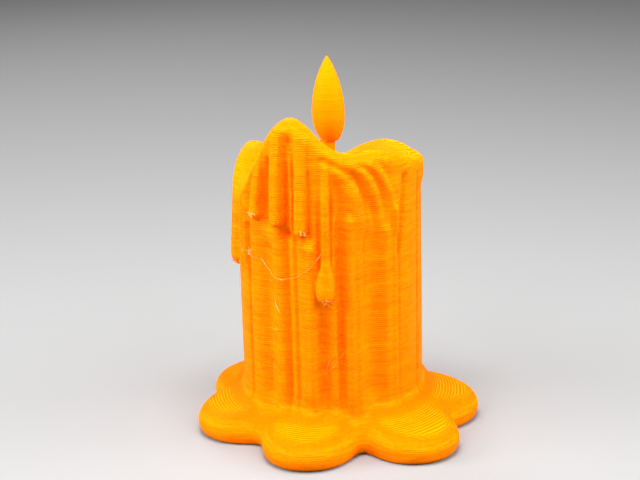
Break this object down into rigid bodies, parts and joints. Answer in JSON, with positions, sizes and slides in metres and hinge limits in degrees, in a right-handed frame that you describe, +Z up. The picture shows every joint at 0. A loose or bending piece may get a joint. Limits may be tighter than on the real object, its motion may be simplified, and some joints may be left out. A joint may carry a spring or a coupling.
{
  "type": "melted candle",
  "caption": "One-piece decorative candle with wax drips, a spread puddle foot, a wavy-rimmed well, and a wick with a flame.",
  "frame": {"origin": "on the candle's axis, in the flat bottom of the puddle", "axes": "+Z up along the candle's axis, -Y towards the front with the long thin drip, +X to the right"},
  "size_m": [0.085, 0.0789, 0.112],
  "materials": {
    "orange_filament": "satin orange printed plastic with fine level layer lines"
  },
  "bodies": {
    "root": {"candle": "orange_filament"}
  },
  "joints": []
}
